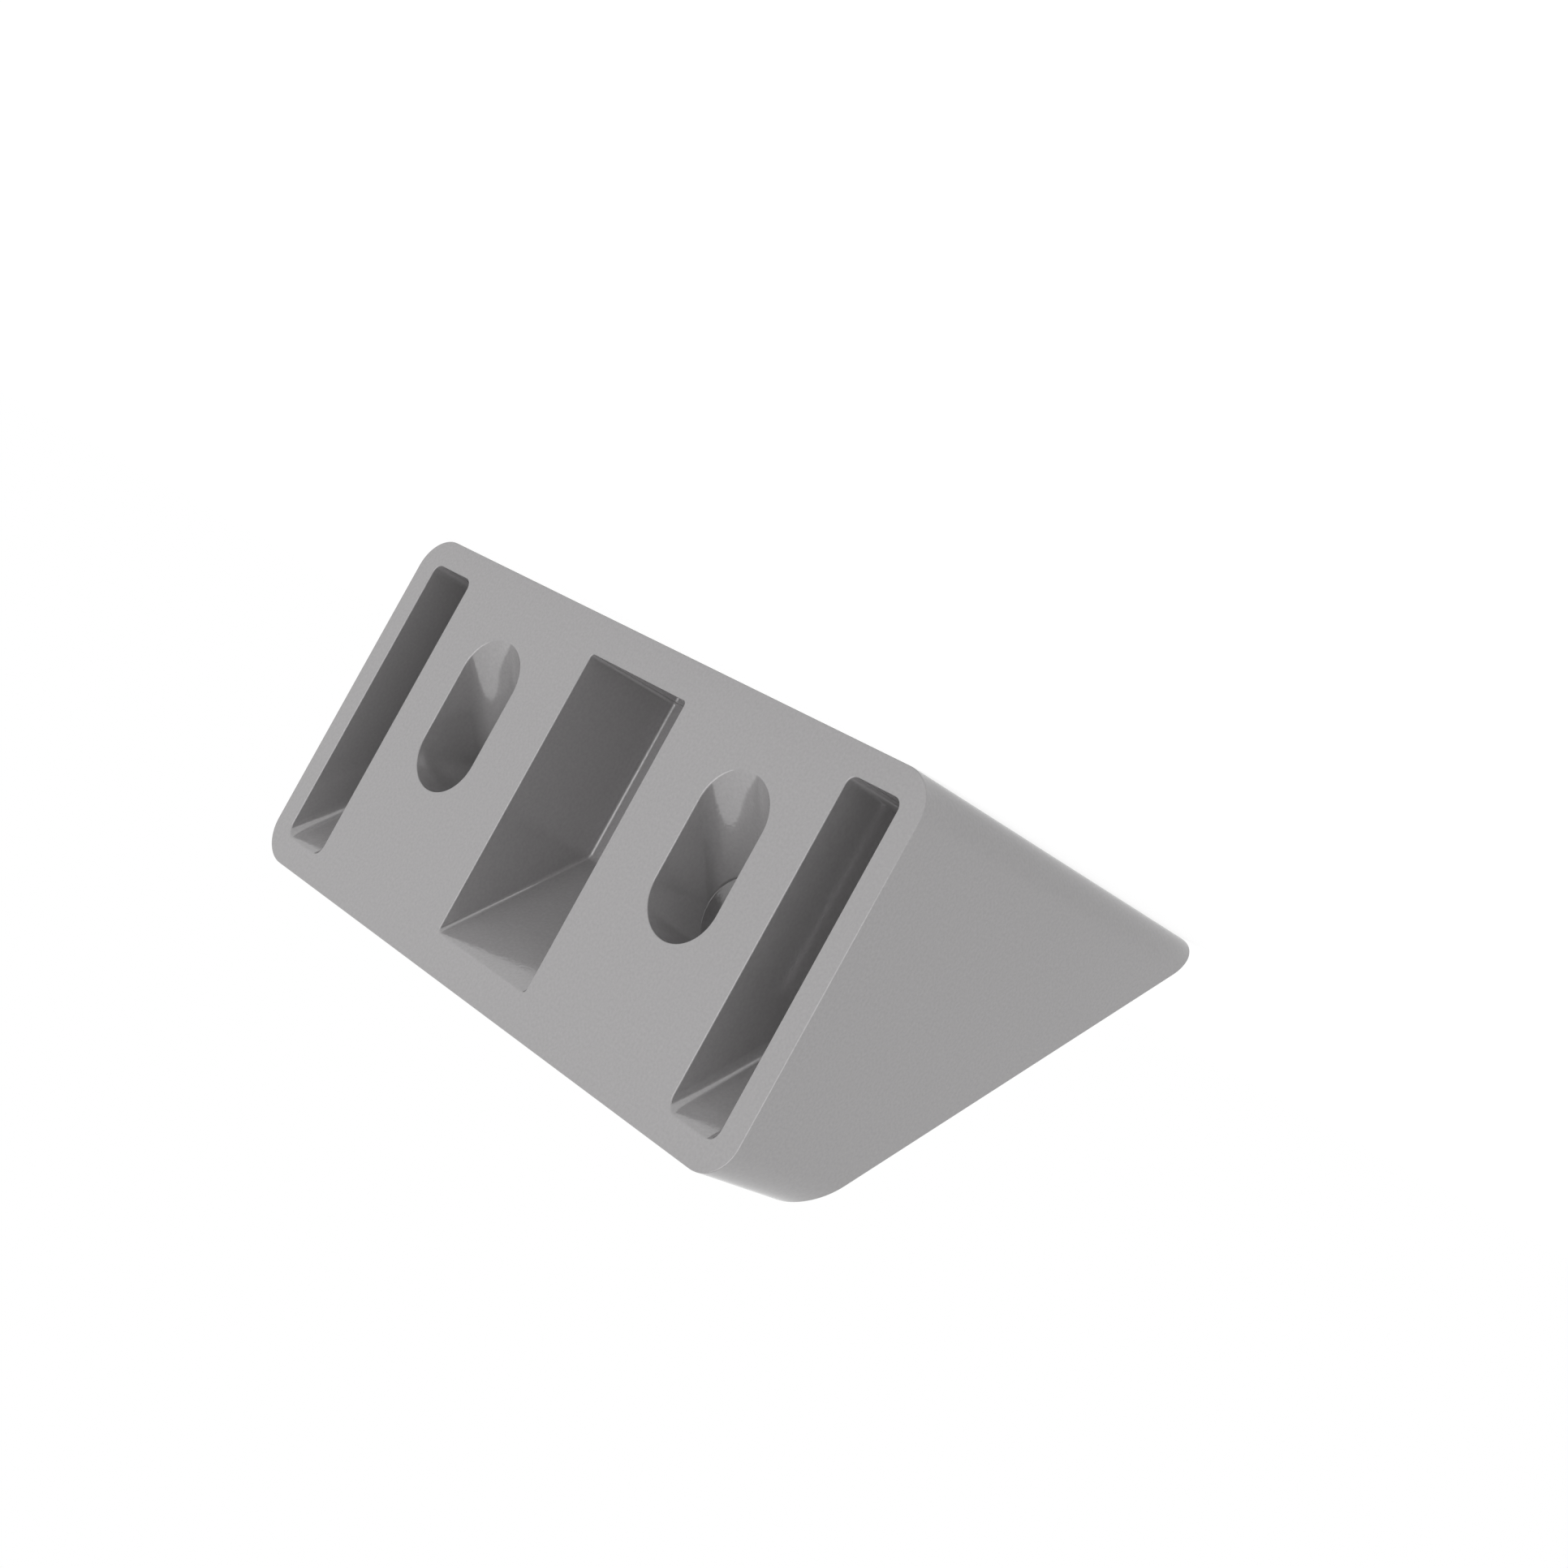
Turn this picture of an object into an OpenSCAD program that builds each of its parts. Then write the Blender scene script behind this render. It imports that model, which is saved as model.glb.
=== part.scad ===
// Cast angle connector: joins the end of a two-cell framing profile to another profile at a mitre.
// Millimetres. The origin is the centre of the end face, on the axis of the framing profile.
// X runs across the width, +Y from the end face towards the mitre, +Z up from the long side it lies on.

/* [Body] */
// Width of the end face, across both cells of the profile
profile_w = 80; // [70:1:120]
// Height of the end face, from the long side to the short side
profile_h = 40; // [36:1:60]
// Radius of the four long corners
corner_r = 4; // [1:0.5:6]
// Length of the short side, from the end face to the mitre
short_side = 12; // [8:0.5:30]
// Angle between the end face and the mitre face
mitre_angle = 45; // [30:1:50]

/* [Screw slots] */
// Distance between the two screw axes
screw_spacing = 40; // [36:0.5:44]
// Width of a slot, which is the screw's clearance hole
screw_hole_d = 9; // [5:0.5:11]
// How far the mouth of a slot is drawn out towards the long side
slot_run = 8.6; // [2:0.2:12]
// Thickness of the wall under a screw head, from the end face
seat_depth = 8.2; // [6:0.2:12]
// Length of the round hole left behind the slanting end of a slot
hole_land = 0.4; // [0.2:0.1:2]
// Diameter of the recess that takes a screw head and its key
head_recess_d = 15; // [12:0.5:18]

/* [Middle pocket] */
// Width of the middle pocket
mid_w = 15.2; // [8:0.2:18]
// Wall between the middle pocket and the long side
mid_long_wall = 4; // [2:0.2:10]
// Wall between the mouth of the middle pocket and the short side
mid_short_wall = 4; // [2:0.2:10]
// Depth of the middle pocket
mid_depth = 13.4; // [4:0.2:16]
// Radius in the corners of the middle pocket
mid_corner_r = 0.4; // [0.2:0.1:2]

/* [Side pockets] */
// Width of a side pocket
side_w = 6.7; // [4:0.1:8]
// Wall between a side pocket and the outer side
side_wall = 2.8; // [2:0.1:5]
// Wall between a side pocket and the long side
side_long_wall = 3; // [2:0.2:10]
// Wall between the mouth of a side pocket and the short side
side_short_wall = 3; // [2:0.2:10]
// Depth of a side pocket
side_depth = 13.4; // [4:0.2:16]
// Radius in the corners of a side pocket
side_corner_r = 1; // [0.2:0.1:2]

/* [Hidden] */
$fn = 96;

cast_grey = [0.66, 0.65, 0.65];
// Cutting tools stand this far proud of the faces they open
proud = 1;
// Facets round the slanting end of a slot
blend_fn = 32;
// The slanting end starts this far inside the clearance hole, so its facets never graze the hole's wall
blend_inset = 0.02;

long_side = mitre_y(-profile_h / 2);
reach = profile_w + long_side;
side_pocket_x = profile_w / 2 - side_wall - side_w / 2;

// Distance from the end face to the mitre face at height z
function mitre_y(z) = short_side + (profile_h / 2 - z) * tan(mitre_angle);

// Extrudes a shape drawn in X and Z along Y
module along_y(from, to) {
    translate([0, to, 0])
        rotate([90, 0, 0])
            linear_extrude(to - from)
                children();
}

// Extrudes a shape drawn in Y and Z along X, to both sides of the middle
module along_x(width) {
    rotate([90, 0, 90])
        linear_extrude(width, center = true)
            children();
}

module rounded_rectangle(width, height, radius) {
    square([width - 2 * radius, height], center = true);
    square([width, height - 2 * radius], center = true);
    for (x = [-1, 1], y = [-1, 1])
        translate([x * (width / 2 - radius), y * (height / 2 - radius)])
            circle(radius);
}

// A channel that is open upwards and rounded along both sides of its floor
module channel(width, radius) {
    translate([-width / 2, radius])
        square([width, reach]);
    translate([radius - width / 2, 0])
        square([width - 2 * radius, reach]);
    for (x = [-1, 1])
        translate([x * (width / 2 - radius), radius])
            circle(radius);
}

// The end face's outline, run back and cut off by the mitre
module blank() {
    low = -profile_h / 2 - proud;
    high = profile_h / 2 + proud;
    intersection() {
        along_y(0, long_side)
            rounded_rectangle(profile_w, profile_h, corner_r);
        along_x(profile_w + 2 * proud)
            polygon([[-proud, low], [mitre_y(low), low], [mitre_y(high), high], [-proud, high]]);
    }
}

// A pocket sunk from the end face, with a floor that runs parallel to the mitre
module pocket(width, long_wall, short_wall, depth, radius) {
    foot = profile_h / 2 - short_wall;
    head = long_wall - profile_h / 2;
    intersection() {
        translate([0, 0, (head + profile_h / 2) / 2])
            along_y(-proud, depth)
                rounded_rectangle(width, profile_h / 2 - head, radius);
        translate([0, 0, foot])
            rotate([180 + mitre_angle, 0, 0])
                linear_extrude(2 * reach, center = true)
                    channel(width, radius);
    }
}

// A screw hole whose mouth is drawn out to a slot with a slanting end
module screw_slot() {
    along_y(-proud, seat_depth + proud)
        circle(d = screw_hole_d);
    hull() {
        along_y(-proud, seat_depth - hole_land)
            circle(d = screw_hole_d - 2 * blend_inset, $fn = blend_fn);
        translate([0, 0, -slot_run])
            along_y(-proud, 0)
                circle(d = screw_hole_d - 2 * blend_inset, $fn = blend_fn);
    }
}

// The recess for a screw head, from its seat out through the mitre
module head_recess() {
    along_y(seat_depth, mitre_y(-head_recess_d / 2) + proud)
        circle(d = head_recess_d);
}

module connector_body() {
    color(cast_grey)
        difference() {
            blank();
            pocket(mid_w, mid_long_wall, mid_short_wall, mid_depth, mid_corner_r);
            for (s = [-1, 1]) {
                translate([s * side_pocket_x, 0, 0])
                    pocket(side_w, side_long_wall, side_short_wall, side_depth, side_corner_r);
                translate([s * screw_spacing / 2, 0, 0]) {
                    screw_slot();
                    head_recess();
                }
            }
        }
}

connector_body();
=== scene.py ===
# %% [markdown]
# # A cast angle connector
#
# This lesson dresses a small cast bracket. It joins the end of a two-cell framing profile to another
# profile at 45 degrees. The real thing is one casting with a fine satin grey coat: a rounded block cut
# off at a mitre, with three pockets and two screw slots in its end face.
#
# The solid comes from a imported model, which fixes every size. Here we build a finer body around the
# same sizes, with the small roundings that catch the light, and then give it its finish.

# %% Load the frame
import math

import bmesh
import bpy
from mathutils import Euler, Matrix, Vector


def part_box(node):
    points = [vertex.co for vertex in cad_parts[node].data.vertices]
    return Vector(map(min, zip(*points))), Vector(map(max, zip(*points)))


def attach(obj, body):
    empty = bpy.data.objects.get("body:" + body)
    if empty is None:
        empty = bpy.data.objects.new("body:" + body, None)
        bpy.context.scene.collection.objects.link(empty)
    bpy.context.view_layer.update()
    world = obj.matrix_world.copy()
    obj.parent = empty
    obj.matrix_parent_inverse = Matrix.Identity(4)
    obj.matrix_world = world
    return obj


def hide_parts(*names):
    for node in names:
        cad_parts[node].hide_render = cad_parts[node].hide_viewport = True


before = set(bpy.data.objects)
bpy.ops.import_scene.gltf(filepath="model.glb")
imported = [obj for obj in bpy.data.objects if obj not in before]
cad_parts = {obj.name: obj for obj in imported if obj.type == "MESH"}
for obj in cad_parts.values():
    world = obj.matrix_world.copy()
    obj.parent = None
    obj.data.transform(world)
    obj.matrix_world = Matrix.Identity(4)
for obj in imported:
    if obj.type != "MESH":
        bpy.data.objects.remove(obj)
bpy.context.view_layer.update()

NODE = "connector_body"
MM = 0.001
low, high = (Vector(corner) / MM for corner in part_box(NODE))
width, long_side, height = high - low
print(f"the solid is {width:.1f} x {long_side:.1f} x {height:.1f} mm")

# %% [markdown]
# ## The camera
#
# The photograph looks at the end face and one side from close by, and the part hangs in it almost
# upside down. So the camera stands just above the surface that the part lies on, and is rolled over.
# Three angles and a place say all of that: which way it looks, how far it looks down, and its roll.

# %% Place the camera
CAMERA_PLACE = Vector((-158.0, -145.7, -9.6)) * MM
CAMERA_TURN = 42.60
CAMERA_DIP = 1.106
CAMERA_ROLL = 151.083
LENS = 50.0
SENSOR = 36.0


def rolled_camera(place, turn, dip, roll):
    """A camera that looks along +Y at zero turn, turned towards +X, dipped, and then rolled."""
    data = bpy.data.cameras.new("camera")
    data.lens = LENS
    data.sensor_width = SENSOR
    data.clip_start = MM
    camera = bpy.data.objects.new("camera", data)
    bpy.context.collection.objects.link(camera)
    aim = Euler((math.radians(90 - dip), 0, math.radians(-turn))).to_matrix().to_4x4()
    camera.matrix_world = Matrix.Translation(place) @ aim @ Matrix.Rotation(math.radians(-roll), 4, "Z")
    return camera


bpy.context.scene.camera = rolled_camera(CAMERA_PLACE, CAMERA_TURN, CAMERA_DIP, CAMERA_ROLL)
print("camera at", tuple(round(v / MM, 1) for v in CAMERA_PLACE), "mm")

# %% [markdown]
# ## The blank
#
# The outside of the casting is one simple form: the outline of the profile's end, run back and sawn off
# at the mitre. It could be drawn as an outline and extruded. Starting from a cube is shorter: bevel its
# four long edges into the corner radius, bisect it with the plane of the mitre, and close the cut.
#
# All the shapes are made in millimetres, as on a drawing. The finished mesh is scaled to metres once.

# %% Make the blank
CORNER_R = 4.0
MITRE_AXIS_Y = 32.0
MITRE_NORMAL = Vector((0, 1, 1)).normalized()
CORNER_STEPS = 20
NEARLY_PARALLEL = 0.99


def block(lowest, highest):
    """A bmesh with one box between two corners."""
    bm = bmesh.new()
    bmesh.ops.create_cube(bm, size=1)
    lowest, highest = Vector(lowest), Vector(highest)
    bmesh.ops.scale(bm, vec=highest - lowest, verts=bm.verts)
    bmesh.ops.translate(bm, vec=(lowest + highest) / 2, verts=bm.verts)
    return bm


def runs_along_y(edge):
    across = edge.verts[0].co - edge.verts[1].co
    return abs(across.normalized().y) > NEARLY_PARALLEL


def round_edges(bm, edges, radius, steps):
    bmesh.ops.bevel(bm, geom=edges, offset=radius, segments=steps, profile=0.5, affect="EDGES",
                    clamp_overlap=False, material=-1)


def saw(bm, point, normal):
    """Cuts away what lies in front of a plane and closes the cut with one face."""
    everything = bm.verts[:] + bm.edges[:] + bm.faces[:]
    bmesh.ops.bisect_plane(bm, geom=everything, plane_co=point, plane_no=normal, clear_outer=True)
    rim = [edge for edge in bm.edges if edge.is_boundary]
    bmesh.ops.contextual_create(bm, geom=rim)


def as_object(bm, name):
    """Turns a finished bmesh into an object of its own."""
    bmesh.ops.recalc_face_normals(bm, faces=bm.faces)
    mesh = bpy.data.meshes.new(name)
    bm.to_mesh(mesh)
    bm.free()
    obj = bpy.data.objects.new(name, mesh)
    bpy.context.collection.objects.link(obj)
    return obj


blank = block(low, high)
round_edges(blank, [edge for edge in blank.edges if runs_along_y(edge)], CORNER_R, CORNER_STEPS)
saw(blank, (0, MITRE_AXIS_Y, 0), MITRE_NORMAL)
casting = as_object(blank, "cast_connector")
print("blank:", len(casting.data.polygons), "faces")

# %% [markdown]
# ## The pockets
#
# The foundry leaves three pockets in the end face to save metal. Each has straight walls, and a floor
# that runs parallel to the mitre. The easy way to make a hollow with rounded inner corners is to make
# its plug first: on the plug those corners are outside edges, which a bevel rounds cleanly. The plug is
# then subtracted. Only the edges at the open end stay sharp, because they stick out into the air.

# %% Make the pocket plugs
PROUD = 2.0
POCKET_STEPS = 6


def pocket_plug(name, middle, wide, long_wall, short_wall, deep, radius):
    """A plug for one pocket, centred on x = middle."""
    bm = block((middle - wide / 2, -PROUD, low.z + long_wall), (middle + wide / 2, deep, high.z))
    saw(bm, (0, 0, high.z - short_wall), MITRE_NORMAL)
    inner = [edge for edge in bm.edges if max(vert.co.y for vert in edge.verts) > -PROUD / 2]
    round_edges(bm, inner, radius, POCKET_STEPS)
    return as_object(bm, name)


MID_W = 15.2
MID_WALL = 4.0
SIDE_W = 6.7
SIDE_OUTER_WALL = 2.8
SIDE_WALL = 3.0
POCKET_DEEP = 13.4
MID_FILLET = 0.4
SIDE_FILLET = 1.0
SIDES = ((-1, "left"), (1, "right"))
side_x = width / 2 - SIDE_OUTER_WALL - SIDE_W / 2

plugs = [pocket_plug("middle_plug", 0, MID_W, MID_WALL, MID_WALL, POCKET_DEEP, MID_FILLET)]
for sign, side in SIDES:
    x = sign * side_x
    plugs.append(pocket_plug(f"{side}_plug", x, SIDE_W, SIDE_WALL, SIDE_WALL, POCKET_DEEP, SIDE_FILLET))
print("plugs:", [plug.name for plug in plugs])

# %% [markdown]
# ## The screw slots
#
# Each screw hole is round where the screw's head sits, but its mouth is drawn out towards the long side,
# and the end of that slot slants in to meet the hole. A convex hull over four circles gives exactly this
# funnel. Its round back face is then extruded into the short hole, widened in place to the seat of the
# head, and extruded out through the mitre, so the whole way of the screw is one closed plug.

# %% Make the screw plugs
SCREW_SPACING = 40.0
HOLE_R = 4.5
SLOT_RUN = 8.6
SEAT_DEEP = 8.2
HOLE_LAND = 0.4
HEAD_R = 7.5
ROUND_STEPS = 96
FLAT = math.radians(0.05)
SNAP = 1e-4


def upright_circle(bm, radius, centre):
    """A ring of vertices that faces along Y."""
    place = Matrix.Translation(centre) @ Matrix.Rotation(math.pi / 2, 4, "X")
    return bmesh.ops.create_circle(bm, segments=ROUND_STEPS, radius=radius, matrix=place)["verts"]


def push_face(bm, face, along, grow=1.0):
    """Extrudes one face, moves it, scales it about its own centre and returns it."""
    made = bmesh.ops.extrude_face_region(bm, geom=[face])["geom"]
    new_face = next(item for item in made if isinstance(item, bmesh.types.BMFace))
    centre = new_face.calc_center_median()
    bmesh.ops.scale(bm, vec=(grow, 1, grow), verts=new_face.verts, space=Matrix.Translation(-centre))
    bmesh.ops.translate(bm, vec=(0, along, 0), verts=new_face.verts)
    bmesh.ops.delete(bm, geom=[face], context="FACES_ONLY")
    return new_face


def screw_plug(name, x):
    bm = bmesh.new()
    for y, z in ((-PROUD, -SLOT_RUN), (0, -SLOT_RUN), (-PROUD, 0), (SEAT_DEEP - HOLE_LAND, 0)):
        upright_circle(bm, HOLE_R, (x, y, z))
    bmesh.ops.convex_hull(bm, input=bm.verts)
    bmesh.ops.dissolve_limit(bm, angle_limit=FLAT, verts=bm.verts, edges=bm.edges)
    back = max(bm.faces, key=lambda face: min(vert.co.y for vert in face.verts))
    hole_end = push_face(bm, back, HOLE_LAND)
    seat = push_face(bm, hole_end, 0, HEAD_R / HOLE_R)
    push_face(bm, seat, long_side)
    return as_object(bm, name)


for sign, side in SIDES:
    plugs.append(screw_plug(f"{side}_screw_plug", sign * SCREW_SPACING / 2))
print("screw plug faces:", len(plugs[-1].data.polygons))

# %% [markdown]
# ## Cutting the casting
#
# Five boolean modifiers take the plugs out of the blank. The modifiers are applied straight away, because
# the edges that they leave still need rounding, and the plugs have then done their work.

# %% Subtract the plugs
for plug in plugs:
    cut = casting.modifiers.new(plug.name, "BOOLEAN")
    cut.operation = "DIFFERENCE"
    cut.solver = "EXACT"
    cut.object = plug
solved = bpy.data.meshes.new_from_object(casting.evaluated_get(bpy.context.evaluated_depsgraph_get()))
casting.modifiers.clear()
casting.data = solved
for plug in plugs:
    bpy.data.objects.remove(plug)
print("after the cuts:", len(casting.data.polygons), "faces")

# %% [markdown]
# ## The rounded edges
#
# No cast edge is sharp. Blasting and the coat leave a rounding of a fraction of a millimetre, and that is
# where the bright hairlines in the picture come from. The edges to round are those where two faces meet at
# a clear angle. The roundings made so far turn in small steps, so they stay untouched. The mesh is shaded
# smooth, and weighted normals keep the flat faces flat right up to their rims.

# %% Round the edges
EDGE_R = 0.13
EDGE_STEPS = 3
CLEAR_ANGLE = math.radians(25)
LARGE_FACES_RULE = 100


def is_clear_edge(edge):
    return len(edge.link_faces) == 2 and edge.calc_face_angle() > CLEAR_ANGLE


bm = bmesh.new()
bm.from_mesh(casting.data)
bmesh.ops.remove_doubles(bm, verts=bm.verts, dist=SNAP)
bmesh.ops.dissolve_limit(bm, angle_limit=FLAT, verts=bm.verts, edges=bm.edges)
round_edges(bm, [edge for edge in bm.edges if is_clear_edge(edge)], EDGE_R, EDGE_STEPS)
for face in bm.faces:
    face.smooth = True
bmesh.ops.scale(bm, vec=(MM, MM, MM), verts=bm.verts)
open_edges = sum(not edge.is_manifold for edge in bm.edges)
bm.to_mesh(casting.data)
bm.free()
casting.modifiers.new("flat faces stay flat", "WEIGHTED_NORMAL").weight = LARGE_FACES_RULE
print("casting:", len(casting.data.polygons), "faces,", open_edges, "open edges")

# %% [markdown]
# ## The satin finish
#
# The casting is blasted and then coated in a thin satin grey. Some of the light is mirrored, as on bare
# metal, and the rest is scattered, as on paint, so the shader is set to be part metal. The mirrored part
# shows best in the slots: where the slanting end turns towards the white surround, it lights up as a wedge.
# A fine grain blurs the rim of that wedge. It is noise on Object coordinates, used once in the colour, as
# barely lighter and darker specks, and once as a bump.

# %% Mix the finish
SATIN_GREY = (0.43, 0.421, 0.425)
METAL_SHARE = 0.25
SATIN_ROUGHNESS = 0.1
GRAIN_PER_METRE = 3200
GRAIN_DETAIL = 2
SPECK_BAND = (0.3, 0.7)
SPECK_LEVELS = (0.955, 1.045)
GRAIN_STRENGTH = 0.12
GRAIN_HEIGHT = 0.00006


def noise(tree, coordinates, scale, detail):
    node = tree.nodes.new("ShaderNodeTexNoise")
    node.inputs["Scale"].default_value = scale
    node.inputs["Detail"].default_value = detail
    tree.links.new(coordinates, node.inputs["Vector"])
    return node.outputs["Fac"]


def satin_finish():
    material = bpy.data.materials.new("satin_grey")
    material.use_nodes = True
    tree = material.node_tree
    shader = tree.nodes["Principled BSDF"]
    shader.inputs["Metallic"].default_value = METAL_SHARE
    shader.inputs["Roughness"].default_value = SATIN_ROUGHNESS
    here = tree.nodes.new("ShaderNodeTexCoord").outputs["Object"]
    grain = noise(tree, here, GRAIN_PER_METRE, GRAIN_DETAIL)
    specks = tree.nodes.new("ShaderNodeValToRGB")
    for stop, position, level in zip(specks.color_ramp.elements, SPECK_BAND, SPECK_LEVELS):
        stop.position = position
        stop.color = [channel * level for channel in SATIN_GREY] + [1]
    tree.links.new(grain, specks.inputs["Fac"])
    tree.links.new(specks.outputs["Color"], shader.inputs["Base Color"])
    bump = tree.nodes.new("ShaderNodeBump")
    bump.inputs["Strength"].default_value = GRAIN_STRENGTH
    bump.inputs["Distance"].default_value = GRAIN_HEIGHT
    tree.links.new(grain, bump.inputs["Height"])
    tree.links.new(bump.outputs["Normal"], shader.inputs["Normal"])
    return material


casting.data.materials.clear()
casting.data.materials.append(satin_finish())
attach(casting, "root")
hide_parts(NODE)
print("finish on", casting.name)

# %% [markdown]
# ## Floor and light
#
# The picture shows the part on pure white with soft light from all round, a little more of it from the
# front. A white world gives that, and one large soft lamp in front of the end face gives the rest. To the
# camera and in reflections world and floor are plain white. The floor still takes the part's shadow: a share
# of what the camera sees there is scattered light, and its glow is set so that bare floor is exactly white.

# %% Light the scene
FLOOR_SIZE = 6.0
FLOOR_WHITE = 0.95
SHADOW_SHARE = 0.25
SKY_LEVEL = 0.54
LAMP_WATTS = 3.0
LAMP_SIZE = 0.9
LAMP_PLACE = Vector((-0.1, -0.9, 0.3))


def seen_as_white(tree):
    """1 for rays from the camera and for mirrored or transmitted ones, 0 for the rest."""
    path = tree.nodes.new("ShaderNodeLightPath")
    total = path.outputs["Is Camera Ray"]
    for name in ("Is Glossy Ray", "Is Transmission Ray"):
        add = tree.nodes.new("ShaderNodeMath")
        add.operation = "MAXIMUM"
        tree.links.new(total, add.inputs[0])
        tree.links.new(path.outputs[name], add.inputs[1])
        total = add.outputs[0]
    return total


world = bpy.data.worlds.new("white_surround")
bpy.context.scene.world = world
world.use_nodes = True
sky = world.node_tree.nodes["Background"]
sky.inputs["Color"].default_value = (1, 1, 1, 1)
level = world.node_tree.nodes.new("ShaderNodeMapRange")
level.inputs["To Min"].default_value = SKY_LEVEL
level.inputs["To Max"].default_value = 1
world.node_tree.links.new(seen_as_white(world.node_tree), level.inputs["Value"])
world.node_tree.links.new(level.outputs["Result"], sky.inputs["Strength"])

floor_shape = bmesh.new()
bmesh.ops.create_grid(floor_shape, x_segments=1, y_segments=1, size=FLOOR_SIZE / 2)
bmesh.ops.translate(floor_shape, vec=(0, 0, low.z * MM), verts=floor_shape.verts)
floor = as_object(floor_shape, "floor")
paper = bpy.data.materials.new("white_paper")
paper.use_nodes = True
tree = paper.node_tree
tree.nodes["Principled BSDF"].inputs["Base Color"].default_value = (FLOOR_WHITE,) * 3 + (1,)
tree.nodes["Principled BSDF"].inputs["Roughness"].default_value = 1
glow = tree.nodes.new("ShaderNodeEmission")
scattered = SHADOW_SHARE * FLOOR_WHITE * SKY_LEVEL
glow.inputs["Strength"].default_value = (1 - scattered) / (1 - SHADOW_SHARE)
mix = tree.nodes.new("ShaderNodeMixShader")
share = tree.nodes.new("ShaderNodeMath")
share.operation = "MULTIPLY"
share.inputs[1].default_value = 1 - SHADOW_SHARE
tree.links.new(seen_as_white(tree), share.inputs[0])
tree.links.new(share.outputs[0], mix.inputs["Fac"])
tree.links.new(tree.nodes["Principled BSDF"].outputs["BSDF"], mix.inputs[1])
tree.links.new(glow.outputs["Emission"], mix.inputs[2])
tree.links.new(mix.outputs["Shader"], tree.nodes["Material Output"].inputs["Surface"])
floor.data.materials.append(paper)

lamp_data = bpy.data.lights.new("front_lamp", "AREA")
lamp_data.energy = LAMP_WATTS
lamp_data.size = LAMP_SIZE
lamp = bpy.data.objects.new("front_lamp", lamp_data)
bpy.context.collection.objects.link(lamp)
aim = (-LAMP_PLACE).to_track_quat("-Z", "Y").to_matrix().to_4x4()
lamp.matrix_world = Matrix.Translation(LAMP_PLACE) @ aim
bpy.context.scene.view_settings.view_transform = "Standard"
print("lamp", LAMP_WATTS, "W at", tuple(LAMP_PLACE))

# %% [markdown]
# ## The end

# The dressed part has to stay inside the solid's box.

# %% Finish
print("scene built")
